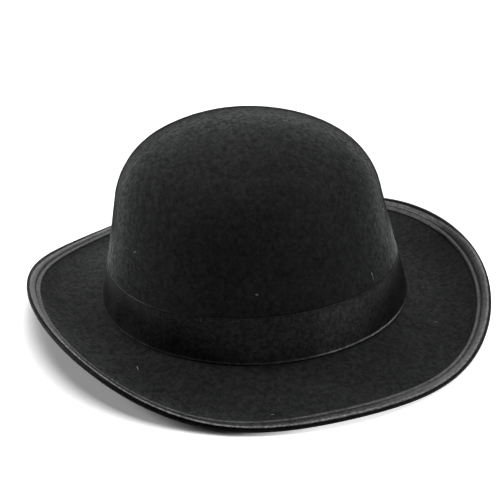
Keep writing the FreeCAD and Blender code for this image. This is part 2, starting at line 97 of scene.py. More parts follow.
def crown_arcs():
    """Radius at the wall's top, radius of the shoulder arc, radius of the top arc."""
    wall = MEAN_RADIUS - WALL_TOP * math.tan(LEAN)
    rise = CROWN_HEIGHT - WALL_TOP
    system = np.array([
        [math.cos(LEAN) - math.cos(SHOULDER_END), math.cos(SHOULDER_END)],
        [math.sin(SHOULDER_END) - math.sin(LEAN), 1.0 - math.sin(SHOULDER_END)],
    ])
    shoulder, top = np.linalg.solve(system, [wall, rise])
    return wall, shoulder, top


WALL_RADIUS, SHOULDER_RADIUS, TOP_RADIUS = crown_arcs()


def crown_point(lean):
    """Mean radius and height of the crown where its surface leans by an angle."""
    if lean <= SHOULDER_END:
        radius = WALL_RADIUS - SHOULDER_RADIUS * (math.cos(LEAN) - math.cos(lean))
        return radius, WALL_TOP + SHOULDER_RADIUS * (math.sin(lean) - math.sin(LEAN))
    return TOP_RADIUS * math.cos(lean), CROWN_HEIGHT - TOP_RADIUS * (1.0 - math.sin(lean))


def wall_point(height):
    return MEAN_RADIUS - height * math.tan(LEAN), height


def crown_profile(highest_lean, lowest, arc_steps, wall_steps):
    """Radius and height pairs from the given lean down to the lowest height."""
    leans = np.linspace(highest_lean, LEAN, arc_steps, endpoint=False)
    points = [crown_point(lean) for lean in leans]
    points += [wall_point(height) for height in np.linspace(WALL_TOP, lowest, wall_steps)]
    return points


def brim_edge(phi):
    swell = 1.0 + SQUARENESS * np.cos(4.0 * phi) + SKEW * np.sin(2.0 * phi)
    height = EDGE_LEVEL + EDGE_RISE * np.cos(2.0 * phi)
    height = height + EDGE_RIPPLE * np.cos(4.0 * phi) + EDGE_FLUTTER * np.cos(6.0 * phi)
    x = BRIM_HALF[0] * np.cos(phi) * swell
    y = BRIM_HALF[1] * np.sin(phi) * swell
    return np.stack([x, y, height + BREAK_Z], axis=-1)


def brim_surface(share, phi):
    """Top of the brim; share is 0 at the break line and 1 at the edge, or an array per angle."""
    root = oval(MEAN_RADIUS, 0.0, phi)
    edge = brim_edge(phi)
    reach = np.hypot(edge[:, 0] - root[:, 0], edge[:, 1] - root[:, 1])
    height = reach * blend(*ROOT_SLOPE, phi) * share * (1.0 - share) ** 2
    height = height + (edge[:, 2] - BREAK_Z) * share * share * (3.0 - 2.0 * share)
    height = height + reach * blend(*EDGE_SLOPE, phi) * share * share * (share - 1.0)
    spot = root + (edge - root) * np.broadcast_to(share, phi.shape)[:, None]
    spot[:, 2] = BREAK_Z + height
    return spot


def break_corner(share, phi):
    """Rounded corner between crown wall and brim; share is 0 on the wall."""
    wall = oval(*wall_point(FILLET), phi)
    corner = oval(MEAN_RADIUS, 0.0, phi)
    reach = np.linalg.norm(brim_edge(phi) - corner, axis=1)
    brim = brim_surface(FILLET / reach, phi)
    return wall * (1.0 - share) ** 2 + corner * (2.0 * share * (1.0 - share)) + brim * share ** 2


def normals_of(rings):
    """Outward normals of a grid of closed rings that run anticlockwise and downwards."""
    along = np.gradient(rings, axis=0)
    around = np.roll(rings, -1, axis=1) - np.roll(rings, 1, axis=1)
    cross = np.cross(along, around)
    return cross / np.maximum(np.linalg.norm(cross, axis=2, keepdims=True), 1e-12)


def brim_frame(distance, phi):
    """Points on the brim's top a distance in from the edge, outward directions and normals."""
    outer = 0.14
    run = np.linalg.norm(brim_surface(1.0, phi) - brim_surface(1.0 - outer, phi), axis=1)
    share = 1.0 - outer * distance / run
    step = 0.002
    here = brim_surface(share, phi)
    along = brim_surface(share + step, phi) - brim_surface(share - step, phi)
    along /= np.linalg.norm(along, axis=1, keepdims=True)
    around = brim_surface(share, phi + 1e-4) - brim_surface(share, phi - 1e-4)
    normal = np.cross(along, around)
    normal /= np.linalg.norm(normal, axis=1, keepdims=True)
    return here, along, normal


def smooth_noise(points, scale, seed):
    """Soft noise between -1 and 1 at points in space; scale is the size of a lump in metres."""
    shift = Vector((seed * 3.1, seed * 1.7, seed * 2.3))
    flat = points.reshape(-1, 3)
    values = [noise.noise(Vector(p) / scale + shift) for p in flat.tolist()]
    return np.array(values).reshape(points.shape[:-1])


# -------------------- mesh helpers

def add_object(name, mesh, material, smooth=True):
    mesh.validate()
    if smooth:
        mesh.polygons.foreach_set("use_smooth", [True] * len(mesh.polygons))
    piece = bpy.data.objects.new(name, mesh)
    bpy.context.scene.collection.objects.link(piece)
    mesh.materials.append(material)
    return piece


def ring_skin(name, rings, material, first_tip=None, last_tip=None, closed=False, reference=None):
    """Mesh through closed rings, with an optional point at either end or joined into a tube.

    The uv layer "weave" holds metres: along the reference ring, and across the rings.
    """
    rings = np.asarray(rings)
    count, around = rings.shape[:2]
    vertices = rings.reshape(-1, 3).tolist()
    faces = []
    marks = []
    middle = rings[count // 2 if reference is None else reference]
    steps = np.linalg.norm(np.roll(middle, -1, axis=0) - middle, axis=1)
    u = np.concatenate([[0.0], np.cumsum(steps)])
    v = spread_of(rings)
    last = count if closed else count - 1
    for i in range(last):
        below = (i + 1) % count
        v_here = v[i]
        v_below = v[i + 1] if i + 1 < count else v[i] + v[i] / i
        for j in range(around):
            k = (j + 1) % around
            faces.append((i * around + j, below * around + j, below * around + k, i * around + k))
            marks.append(((u[j], v_here), (u[j], v_below), (u[j + 1], v_below), (u[j + 1], v_here)))
    for tip, row, flip in ((first_tip, 0, False), (last_tip, count - 1, True)):
        if tip is None:
            continue
        vertices.append(tuple(tip))
        index = len(vertices) - 1
        for j in range(around):
            k = (j + 1) % around
            pair = (row * around + j, row * around + k)
            if flip:
                pair = pair[::-1]
            faces.append((index, *pair))
            marks.append(((u[j], v[row]), (u[j], v[row]), (u[j + 1], v[row])))
    mesh = bpy.data.meshes.new(name)
    mesh.from_pydata(vertices, [], faces)
    layer = mesh.uv_layers.new(name="weave")
    layer.data.foreach_set("uv", np.concatenate([np.ravel(m) for m in marks]))
    return add_object(name, mesh, material)


def spread_of(rings):
    """Distance in metres across the rings, from the first ring to each of them."""
    steps = np.linalg.norm(np.diff(rings, axis=0), axis=2).mean(axis=1)
    return np.concatenate([[0.0], np.cumsum(steps)])


def joined_tubes(name, paths, radius, material):
    """One mesh of many short round threads, each along its own few points, thinner at its ends."""
    sides, taper = 8, 0.55
    vertices = []
    faces = []
    for path in paths:
        path = [Vector(p) for p in path]
        base = len(vertices)
        for i, point in enumerate(path):
            ahead = path[min(i + 1, len(path) - 1)] - path[max(i - 1, 0)]
            ahead.normalize()
            side = ahead.cross(Vector((0, 0, 1)))
            if side.length < 1e-6:
                side = ahead.cross(Vector((0, 1, 0)))
            side.normalize()
            up = side.cross(ahead)
            thick = radius * (taper if i in (0, len(path) - 1) else 1.0)
            for s in range(sides):
                turn = TAU * s / sides
                vertices.append(point + side * (thick * math.cos(turn)) + up * (thick * math.sin(turn)))
        for i in range(len(path) - 1):
            for s in range(sides):
                t = (s + 1) % sides
                a = base + i * sides
                b = a + sides
                faces.append((a + s, a + t, b + t, b + s))
        faces.append(tuple(base + s for s in reversed(range(sides))))
        end = base + (len(path) - 1) * sides
        faces.append(tuple(end + s for s in range(sides)))
    mesh = bpy.data.meshes.new(name)
    mesh.from_pydata([tuple(v) for v in vertices], [], faces)
    return add_object(name, mesh, material)


# -------------------- material helpers

class Shader:
    """Short way to build a node tree round one Principled shader."""

    def __init__(self, name):
        self.material = bpy.data.materials.new(name)
        self.material.use_nodes = True
        self.tree = self.material.node_tree
        self.tree.nodes.clear()
        output = self.add("ShaderNodeOutputMaterial")
        self.bsdf = self.add("ShaderNodeBsdfPrincipled")
        self.link(self.bsdf.outputs["BSDF"], output.inputs["Surface"])
        self.place = self.add("ShaderNodeTexCoord").outputs["Object"]

    def add(self, kind, **settings):
        node = self.tree.nodes.new(kind)
        for key, value in settings.items():
            setattr(node, key, value)
        return node

    def link(self, source, target):
        self.tree.links.new(source, target)

    def plug(self, value, socket):
        """A node's output is linked to the socket; a plain value is written into it."""
        if hasattr(value, "is_linked"):
            self.link(value, socket)
        else:
            socket.default_value = value

    def feed(self, node, **values):
        for key, value in values.items():
            self.plug(value, node.inputs[key.replace("_", " ")])

    def set(self, **values):
        self.feed(self.bsdf, **values)

    def noise(self, scale, detail=4.0, roughness=0.6, distortion=0.0, vector=None):
        node = self.add("ShaderNodeTexNoise")
        self.feed(node, Vector=vector or self.place, Scale=scale, Detail=detail,
                  Roughness=roughness, Distortion=distortion)
        return node.outputs["Fac"]

    def stretched(self, factors):
        node = self.add("ShaderNodeMapping")
        self.feed(node, Vector=self.place, Scale=factors)
        return node.outputs["Vector"]

    def weave(self):
        return self.add("ShaderNodeUVMap", uv_map="weave").outputs["UV"]

    def math(self, operation, first, second=0.0, third=None):
        node = self.add("ShaderNodeMath", operation=operation)
        for socket, value in zip(node.inputs, (first, second, third)):
            if value is not None:
                self.plug(value, socket)
        return node.outputs["Value"]

    def ramp(self, factor, stops):
        node = self.add("ShaderNodeValToRGB")
        elements = node.color_ramp.elements
        while len(elements) < len(stops):
            elements.new(0.5)
        for element, (position, colour) in zip(elements, stops):
            element.position = position
            element.color = (*colour, 1.0)
        self.link(factor, node.inputs["Fac"])
        return node.outputs["Color"]

    def mix(self, factor, first, second, blend_type="MIX"):
        node = self.add("ShaderNodeMix", data_type="RGBA", blend_type=blend_type)
        for index, value in ((0, factor), (6, first), (7, second)):
            self.plug((*value, 1.0) if isinstance(value, tuple) else value, node.inputs[index])
        return node.outputs[2]

    def times(self, first, second):
        return self.mix(1.0, first, second, "MULTIPLY")

    def turned(self, stops):
        """How much gloss or sheen is left where the surface turns away from the eye, 0 to 1."""
        facing = self.add("ShaderNodeLayerWeight").outputs["Facing"]
        return self.ramp(facing, [(turn, grey(tone)) for turn, tone in stops])

    def along(self, direction):
        """Distance from the origin along a direction, in the piece's own coordinates."""
        dot = self.add("ShaderNodeVectorMath", operation="DOT_PRODUCT")
        self.link(self.place, dot.inputs[0])
        dot.inputs[1].default_value = direction
        return dot.outputs["Value"]

    def beyond(self, direction, place, soft):
        """0 short of a place along a direction and 1 past it, with a soft step."""
        step = self.add("ShaderNodeMapRange", interpolation_type="SMOOTHSTEP")
        self.link(self.along(direction), step.inputs["Value"])
        self.feed(step, From_Min=place - soft, From_Max=place + soft)
        return step.outputs["Result"]

    def bump(self, height, distance, strength=1.0, normal=None):
        node = self.add("ShaderNodeBump")
        self.feed(node, Height=height, Distance=distance, Strength=strength)
        if normal is not None:
            self.link(normal, node.inputs["Normal"])
        return node.outputs["Normal"]


def grey(value):
    return (value, value, value)


# The crown's nap lies down: how much sheen and gloss it shows from square on to the outline.
NAP_TURN = [(0.04, 0.88), (0.30, 0.90), (0.55, 1.04), (0.70, 1.14), (0.80, 0.60), (0.90, 0.04)]
NAP_FROM, NAP_SOFT = BREAK_Z + 45.0 * MM, 10.0 * MM


def felt_material():
    shader = Shader("felt_black")
    grains = shader.noise(400.0, 1.0, 0.6, 0.7, shader.stretched((1.0, 0.7, 0.9)))
    fibres = shader.noise(1300.0, 5.0, 0.7, 2.2)
    clumps = shader.noise(180.0, 3.0, 0.6, 0.8)
    patches = shader.noise(20.0, 3.0, 0.5, 0.3)
    mixed = shader.math("MULTIPLY_ADD", grains, 0.76, shader.math("MULTIPLY", fibres, 0.24))
    tone = shader.ramp(clumps, [(0.3, grey(0.86)), (0.7, grey(1.14))])
    wear = shader.ramp(patches, [(0.3, grey(0.92)), (0.75, grey(1.08))])
    on_crown = shader.beyond((0.0, 0.0, 1.0), NAP_FROM, NAP_SOFT)
    limb = shader.mix(on_crown, grey(1.0), shader.turned(NAP_TURN))
    shade = shader.times(tone, wear)
    lustre = shader.times(shade, limb)
    colour = shader.ramp(mixed, [(0.38, grey(0.0030)), (0.50, grey(0.0037)), (0.62, grey(0.0049))])
    colour = shader.times(colour, shade)
    fuzz = shader.ramp(mixed, [(0.38, grey(0.10)), (0.62, grey(0.29))])
    gloss = shader.ramp(mixed, [(0.38, grey(0.085)), (0.62, grey(0.165))])
    fuzz = shader.times(fuzz, lustre)
    gloss = shader.times(gloss, lustre)
    rough = shader.math("MULTIPLY_ADD", fibres, 0.2, 0.78)
    normal = shader.bump(mixed, 0.0007, 0.3)
    normal = shader.bump(clumps, 0.0008, 0.35, normal)
    shader.set(Base_Color=colour, Roughness=rough, Normal=normal, Specular_IOR_Level=gloss)
    shader.set(Sheen_Weight=fuzz, Sheen_Roughness=0.30, Sheen_Tint=(0.91, 0.98, 0.95, 1.0))
    shader.set(Specular_Tint=(0.93, 1.0, 0.97, 1.0))
    return shader.material


def satin_ribbon(name, dark, light, rib_pitch, rib_depth, roughness, gloss, along_ribs, painted_light_zones,
                 fade=(0.90, 1.0, 0.5), creep=0.0):
    """Woven ribbon; ribs run across it, fine floats run along it.

    Each painted light zone is a place across the ribbon in metres and how much brighter or darker its
    colour and gloss are painted there: painted highlight and painted shade.
    The ribs hide each other's gloss where the cloth turns away: fade gives start, end and depth.
    Towards the back of the hat the painted zones creep across the ribbon by the given distance.
    """
    shader = Shader(name)
    weave = shader.weave()
    parts = shader.add("ShaderNodeSeparateXYZ")
    shader.link(weave, parts.inputs[0])
    along, across = parts.outputs[0], parts.outputs[1]
    ribs_on, floats_on = (along, across) if along_ribs else (across, along)
    wobble = shader.noise(140.0, 2.0)
    phase = shader.math("MULTIPLY_ADD", ribs_on, TAU / rib_pitch, shader.math("MULTIPLY", wobble, 1.2))
    ribs = shader.math("MULTIPLY_ADD", shader.math("SINE", phase), 0.5, 0.5)
    stretch = shader.add("ShaderNodeCombineXYZ")
    shader.link(shader.math("MULTIPLY", ribs_on, 0.12), stretch.inputs[0])
    shader.link(floats_on, stretch.inputs[1])
    floats = shader.noise(5200.0, 3.0, 0.7, 0.0, stretch.outputs[0])
    slub = shader.noise(60.0, 4.0, 0.6, 0.5)
    mottle = shader.noise(520.0, 2.0, 0.6, 0.6)
    level = shader.math("MULTIPLY_ADD", ribs, 0.35, shader.math("MULTIPLY", floats, 0.65))
    tone = shader.ramp(slub, [(0.3, grey(0.8)), (0.7, grey(1.2))])
    flecks = shader.ramp(mottle, [(0.38, grey(0.62)), (0.62, grey(1.38))])
    shade = shader.times(tone, flecks)
    # Painted highlight and painted shade: the zones make the ribbon's colour and gloss brighter or
    # darker across it.
    reach = painted_light_zones[-1][0]
    stops = [(place / reach, grey(brightness)) for place, brightness in painted_light_zones]
    crept = shader.math("MULTIPLY_ADD", shader.beyond((0.3, 1.0, 0.0), 0.03, 0.05), creep, across)
    shade = shader.times(shade, shader.ramp(shader.math("MULTIPLY", crept, 1.0 / reach), stops))
    limb = shader.turned([(fade[0], 1.0), (fade[1], fade[2])])
    lustre = shader.times(shade, limb)
    colour = shader.times(shader.ramp(level, [(0.15, dark), (0.85, light)]), shade)
    sheen = shader.times(grey(gloss), lustre)
    rough = shader.math("MULTIPLY_ADD", slub, 0.22, roughness + 0.42)
    rough = shader.math("MULTIPLY_ADD", limb, -0.5, rough)
    normal = shader.bump(ribs, rib_depth, 0.7)
    normal = shader.bump(floats, 0.00008, 0.5, normal)
    shader.set(Base_Color=colour, Roughness=rough, Normal=normal, Specular_IOR_Level=sheen)
    return shader.material


def thread_material(name, dark, light):
    shader = Shader(name)
    twist = shader.noise(2600.0, 3.0, 0.6, 1.5)
    colour = shader.ramp(twist, [(0.35, dark), (0.65, light)])
    shader.set(Base_Color=colour, Roughness=0.55, Normal=shader.bump(twist, 0.00015, 0.8))
    shader.set(Sheen_Weight=0.3, Sheen_Roughness=0.4)
    return shader.material


def leather_material():
    shader = Shader("sweat_leather")
    cells = shader.add("ShaderNodeTexVoronoi", feature="DISTANCE_TO_EDGE")
    warped = shader.noise(300.0, 3.0, 0.6)
    shader.feed(cells, Vector=shader.place, Scale=950.0)
    grain = shader.math("SMOOTH_MIN", cells.outputs["Distance"], 0.35, 0.2)
    creases = shader.noise(90.0, 6.0, 0.7, 2.0)
    stain = shader.noise(26.0, 4.0, 0.55, 0.6)
    colour = shader.ramp(stain, [(0.25, (0.17, 0.075, 0.03)), (0.55, (0.30, 0.145, 0.06)),
                                 (0.8, (0.40, 0.21, 0.095))])
    tone = shader.ramp(warped, [(0.3, grey(0.82)), (0.7, grey(1.1))])
    colour = shader.times(colour, tone)
    rough = shader.math("MULTIPLY_ADD", creases, 0.3, 0.34)
    normal = shader.bump(grain, 0.0004, 0.7)
    normal = shader.bump(creases, 0.0006, 0.45, normal)
    shader.set(Base_Color=colour, Roughness=rough, Normal=normal, Specular_IOR_Level=0.45)
    return shader.material


def lining_material():
    shader = Shader("lining_satin")
    fine = shader.noise(2400.0, 3.0, 0.7, 0.0, shader.stretched((1.0, 1.0, 0.12)))
    slub = shader.noise(130.0, 5.0, 0.6, 0.4)
    colour = shader.ramp(slub, [(0.3, (0.60, 0.51, 0.36)), (0.7, (0.74, 0.66, 0.50))])
    rough = shader.math("MULTIPLY_ADD", fine, 0.2, 0.28)
    shader.set(Base_Color=colour, Roughness=rough, Normal=shader.bump(fine, 0.00012, 0.6))
    shader.set(Sheen_Weight=0.4, Sheen_Roughness=0.3, Specular_IOR_Level=0.6)
    return shader.material


def tape_material():
    shader = Shader("woven_tape")
    waves = shader.add("ShaderNodeTexChecker")
    shader.feed(waves, Vector=shader.place, Scale=1700.0)
    fuzz = shader.noise(1500.0, 3.0, 0.7)
    colour = shader.mix(waves.outputs["Fac"], (0.13, 0.07, 0.035), (0.22, 0.125, 0.065))
    normal = shader.bump(waves.outputs["Fac"], 0.00012, 0.5)
    shader.set(Base_Color=colour, Roughness=0.85, Normal=shader.bump(fuzz, 0.0002, 0.6, normal))
    return shader.material


def reed_material():
    shader = Shader("reed_plastic")
    clouds = shader.noise(180.0, 3.0)
    colour = shader.ramp(clouds, [(0.3, (0.62, 0.58, 0.47)), (0.7, (0.72, 0.69, 0.58))])
    shader.set(Base_Color=colour, Roughness=0.42, Normal=shader.bump(clouds, 0.0001, 0.3))
    return shader.material


FELT_LOOK = felt_material()
THREAD_LOOK = thread_material("black_thread", grey(0.004), grey(0.014))
TAN_THREAD_LOOK = thread_material("tan_thread", (0.30, 0.19, 0.10), (0.55, 0.40, 0.25))
LEATHER_LOOK = leather_material()
LINING_LOOK = lining_material()
TAPE_LOOK = tape_material()
REED_LOOK = reed_material()


# -------------------- felt: crown and brim in one

def felt_rings(count):
    """Outer surface from near the top of the crown to the brim's edge."""
    phi = angles(count)
    rings = [oval(r, h, phi) for r, h in crown_profile(math.radians(89.2), FILLET, 60, 26)]
    rings += [break_corner(share, phi) for share in (0.17, 0.33, 0.5, 0.67, 0.83, 1.0)]
    rings += [brim_surface(share, phi) for share in np.linspace(0.08, 1.0, 44)]
    return np.array(rings)


def felt_wander(rings, normals):
    """Slight unevenness of blocked felt, none where ribbon and binding sit on it."""
    height = rings[..., 2] - BREAK_Z
    on_crown = np.clip((height - 32.0 * MM) / (14.0 * MM), 0.0, 1.0)
    root = np.linalg.norm(rings[..., :2] / np.array(BREAK_HALF), axis=-1)
    rim = np.linalg.norm(rings[..., :2] / np.array(BRIM_HALF), axis=-1)
    on_brim = np.clip((root - 1.06) / 0.08, 0.0, 1.0) * np.clip((0.93 - rim) / 0.05, 0.0, 1.0)
    on_brim = np.where(height < 20.0 * MM, on_brim, 0.0)
    share = np.maximum(on_crown, on_brim)
    broad = smooth_noise(rings, 0.045, 1.0) * 0.45 * MM
    close = smooth_noise(rings, 0.009, 2.0) * 0.10 * MM
    return rings + normals * ((broad + close) * share)[..., None]


outer = felt_rings(320)
outer_normals = normals_of(outer)
inner = (outer - outer_normals * FELT)[::-1]
worn_outer = felt_wander(outer, outer_normals)
felt = ring_skin(
    "felt_crown_and_brim", np.concatenate([worn_outer, inner]), FELT_LOOK,
    first_tip=(0.0, 0.0, BREAK_Z + CROWN_HEIGHT), last_tip=(0.0, 0.0, BREAK_Z + CROWN_HEIGHT - FELT))
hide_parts("felt_body")
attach(felt, "root")


FIBRE_LENGTH, FIBRE_LIFT, FIBRE_WIDTH = 1.7 * MM, 0.35 * MM, 0.11 * MM


def scatter_fibres(name, first_ring, last_ring, count):
    """Loose wool fibres lying on the felt, as thin strips of three segments."""
    grid = worn_outer[first_ring:last_ring]
    grid_normals = outer_normals[first_ring:last_ring]
    sizes = np.linalg.norm(np.roll(grid, -1, axis=1) - grid, axis=2)
    steps = np.linalg.norm(np.gradient(grid, axis=0), axis=2)
    weights = (sizes * steps).ravel()
    weights /= weights.sum()
    picks = rng.choice(weights.size, size=count, p=weights)
    rows_at, columns_at = np.unravel_index(picks, sizes.shape)
    starts = grid[rows_at, columns_at]
    ups = grid_normals[rows_at, columns_at]
    jitter = rng.normal(size=(count, 3))
    headings = jitter - ups * (jitter * ups).sum(axis=1, keepdims=True)
    headings /= np.linalg.norm(headings, axis=1, keepdims=True)
    starts = starts + headings * rng.uniform(-1.2, 1.2, (count, 1)) * MM
    sides = np.cross(ups, headings)
    lengths = rng.uniform(0.4, 1.0, (count, 1)) * FIBRE_LENGTH
    bends = rng.uniform(-0.6, 0.6, (count, 1))
    lifts = rng.uniform(0.1, 1.0, (count, 1)) ** 2 * FIBRE_LIFT
    vertices = []
    for share, rise in ((0.0, -0.25), (0.4, 0.8), (0.75, 1.0), (1.0, 0.7)):
        centre = starts + headings * lengths * share
        centre = centre + sides * (bends * lengths * share * share)
        centre = centre + ups * (0.04 * MM + lifts * rise)
        half = sides * (0.5 * FIBRE_WIDTH * (1.0 - 0.6 * share))
        vertices.append(centre - half)
        vertices.append(centre + half)
    stack = np.stack(vertices, axis=1).reshape(-1, 3)
    base = (np.arange(count) * 8)[:, None, None]
    quads = np.array([[0, 1, 3, 2], [2, 3, 5, 4], [4, 5, 7, 6]])[None]
    faces = (base + quads).reshape(-1, 4)
    mesh = bpy.data.meshes.new(name)
    mesh.from_pydata(stack.tolist(), [], faces.tolist())
    piece = add_object(name, mesh, FIBRE_LOOK)
    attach(piece, "root")


def fibre_material():
    shader = Shader("felt_fibres")
    shade = shader.noise(700.0, 2.0)
    colour = shader.ramp(shade, [(0.35, grey(0.003)), (0.65, grey(0.020))])
    shader.set(Base_Color=colour, Roughness=0.8, Specular_IOR_Level=0.2)
    shader.set(Sheen_Weight=0.06, Sheen_Roughness=0.4)
    return shader.material


FIBRE_LOOK = fibre_material()
# The rings between these stretches lie under or beside the ribbon, the last under the binding.
scatter_fibres("felt_fibres_crown", 1, 74, 21000)
scatter_fibres("felt_fibres_brim", 94, 132, 17000)


# Lint on the crown: degrees round, height in mm, heading in degrees, length in mm.
CROWN_LINT = [(302.0, 33.0, 88.0, 4.6), (251.0, 41.0, -20.0, 1.8), (196.0, 52.0, 40.0, 2.6),
              (327.0, 58.0, 100.0, 2.2), (68.0, 39.0, 55.0, 3.8)]
# Lint on the brim: the same, with a share of the way to the edge in place of the height.
BRIM_LINT = [(251.5, 0.77, 10.0, 2.0), (211.0, 0.38, 35.0, 3.6), (318.0, 0.42, 70.0, 2.2),
             (120.0, 0.50, 15.0, 3.0)]
LINT_CURL = np.array([0.15, 0.35, 0.5, 0.45, 0.5, 0.35, 0.15]) * MM
BRIM_MIDDLE, BRIM_REACH = 130.0 * MM, 45.0 * MM


def lint_paths():
    """A few pale stray fibres caught in the felt, curled slightly, on crown and brim."""
    walk = np.linspace(-0.5, 0.5, len(LINT_CURL))
    paths = []
    for degrees, height, heading, length in CROWN_LINT:
        sideways = walk * (length * MM * math.cos(math.radians(heading)) / MEAN_RADIUS)
        phi = math.radians(degrees) + sideways
        rise = walk * length * math.sin(math.radians(heading))
        paths.append(wall_at(phi, (height + rise) * MM, LINT_CURL))
    for degrees, share, heading, length in BRIM_LINT:
        steps = walk * length * MM
        phi = math.radians(degrees) + steps * math.cos(math.radians(heading)) / BRIM_MIDDLE
        shares = share + steps * math.sin(math.radians(heading)) / BRIM_REACH
        path = brim_surface(shares, phi)
        path[:, 2] += LINT_CURL
        paths.append(path)
    return paths


LINT_LOOK = thread_material("pale_lint", grey(0.07), grey(0.20))
lint = joined_tubes("felt_lint", lint_paths(), 0.22 * MM, LINT_LOOK)
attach(lint, "root")


# -------------------- hatband ribbon

# The ribbon's lower selvedge stands off the crown, and most of all at one place near the front.
LOOSE_AT, LOOSE_SPAN = math.radians(300.0), math.radians(22.0)
SNUG, LOOSE = 0.10 * MM, 0.52 * MM
BAND_GAP, BAND_THICK = 0.12 * MM, 0.50 * MM


def hatband_rings(count):
    """Closed cross-section of the ribbon, walked from its inner foot over its outside."""
    phi = angles(count)
    top = blend(BAND_SIDE, BAND_FRONT, phi)
    slack = smooth_noise(wall_at(phi, 0.013, 0.0), 0.035, 4.0)
    slack_fine = smooth_noise(wall_at(phi, 0.013, 0.0), 0.012, 5.0)
    stand_off = SNUG + LOOSE * np.exp(-((phi - LOOSE_AT) / LOOSE_SPAN) ** 2)
    edge_drop = 0.15 * MM * smooth_noise(wall_at(phi, 0.0, 0.0), 0.02, 6.0)
    edge = [0.0, 0.004, 0.009, 0.015, 0.022, 0.030, 0.040, 0.055]
    shares = np.concatenate([edge, np.linspace(0.08, 0.92, 21), 1.0 - np.array(edge[::-1])])
    rings = []
    for share in shares:
        height = BAND_LOW + (top - BAND_LOW) * share + edge_drop * (1.0 - share)
        foot = stand_off * math.exp(-((share - 0.016) / 0.016) ** 2)
        head = 0.22 * MM * math.exp(-((1.0 - share - 0.012) / 0.014) ** 2)
        belly = math.sin(math.pi * share)
        slackness = belly * MM * (0.06 + 0.16 * slack + 0.08 * slack_fine)
        lift = BAND_GAP + BAND_THICK + foot + head + slackness
        rings.append(wall_at(phi, height, lift))
    for share in (1.0, 0.5, 0.0):
        height = BAND_LOW + (top - BAND_LOW) * share
        rings.append(wall_at(phi, height, 0.6 * BAND_GAP))
    return np.array(rings)[::-1]


band_rings = hatband_rings(640)
band_end = spread_of(band_rings)[-1]
# Dark and light tone, rib pitch and depth, roughness, gloss, ribs along the ribbon or not.
BAND_CLOTH = (grey(0.0010), grey(0.0031), 0.7 * MM, 0.03 * MM, 0.38, 0.14, False)
# Painted highlight: colour and gloss are painted three times brighter near the ribbon's lower outer
# edge, as a bright line along the lower selvedge.
BAND_LOOK = satin_ribbon(
    "band_satin", *BAND_CLOTH,
    [(0.0, 1.0), (band_end - 1.4 * MM, 1.0), (band_end - 0.8 * MM, 3.0), (band_end, 3.0)])
BOW_LOOK = satin_ribbon("bow_satin", *BAND_CLOTH, [(0.0, 1.0), (30.0 * MM, 1.0)])
hatband = ring_skin("hatband_ribbon", band_rings, BAND_LOOK, closed=True)
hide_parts("hatband")
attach(hatband, "root")


# -------------------- edge binding

BINDING_WIDTH, GROOVE, BULK, GAP = 7.4 * MM, 4.5 * MM, 0.95 * MM, 0.12 * MM
STITCH_COUNT = 240
ROLL_AT, ROLL_FALL, RIM_DROP = 2.35 * MM, 1.95 * MM, 0.28
LIP_AT, LIP_HALF = 6.05 * MM, 1.38 * MM
# The stitched groove drifts outward at one place, where the hand guided it so.
DRIFT, DRIFT_AT, DRIFT_SPAN = 1.2 * MM, math.radians(185.0), math.radians(26.0)


def binding_height(distance, drift):
    """Height of the folded ribbon above the felt at a distance in from the felt's edge."""
    guided = np.clip((distance - 1.2 * MM) / (1.8 * MM), 0.0, 1.0)
    guided = guided * np.clip((BINDING_WIDTH - distance) / (2.0 * MM), 0.0, 1.0)
    d = np.minimum(distance + drift * guided, BINDING_WIDTH)
    lip = np.maximum(0.0, 1.0 - (np.abs(d - LIP_AT) / LIP_HALF) ** 2.8) ** 0.5
    roll = np.maximum(0.0, 1.0 - (np.maximum(d - ROLL_AT, 0.0) / ROLL_FALL) ** 2.4) ** 0.5
    roll = roll - RIM_DROP * (np.maximum(ROLL_AT - d, 0.0) / ROLL_AT) ** 2
    return GAP + BULK * np.maximum(np.maximum(0.15, 0.95 * lip), roll)


def binding_rings(count):
    phi = angles(count)
    distances = np.concatenate([np.linspace(7.42, 3.6, 24), np.linspace(3.35, 0.3, 10)]) * MM
    pucker = 0.15 * MM * np.cos(phi * STITCH_COUNT)
    waver = 0.10 * MM * smooth_noise(brim_edge(phi), 0.014, 8.0)
    drift = DRIFT * np.exp(-((phi - DRIFT_AT) / DRIFT_SPAN) ** 2)
    rings = []
    for distance in distances:
        here, _, normal = brim_frame(distance, phi)
        near_groove = math.exp(-((distance - GROOVE) / (0.8 * MM)) ** 2)
        lift = binding_height(distance, drift) + near_groove * pucker + waver
        rings.append(here + normal * lift[:, None])
    edge, outward, normal = brim_frame(0.0, phi)
    middle = edge - normal * (0.5 * FELT)
    radius = 0.5 * FELT + GAP + BULK * (1.0 - RIM_DROP)
    for turn in np.linspace(0.0, math.pi, 13):
        spot = middle + outward * ((radius + 0.15 * MM) * math.sin(turn) * 0.86)
        rings.append(spot + normal * (radius * math.cos(turn)))
    for distance in distances[::-1]:
        here, _, normal = brim_frame(distance, phi)
        near_groove = math.exp(-((distance - GROOVE) / (0.8 * MM)) ** 2)
        lift = -FELT - binding_height(distance, 0.0) - near_groove * pucker
        rings.append(here + normal * lift[:, None])
    inner_skin = []
    for distance in (7.42 * MM, 3.5 * MM, 0.0):
        here, _, normal = brim_frame(distance, phi)
        inner_skin.append((here - normal * (FELT + 0.4 * GAP), here + normal * (0.4 * GAP)))
    rings += [below for below, above in inner_skin]
    rings += [above for below, above in reversed(inner_skin)]
    return np.array(rings)


edge_rings = binding_rings(1440)
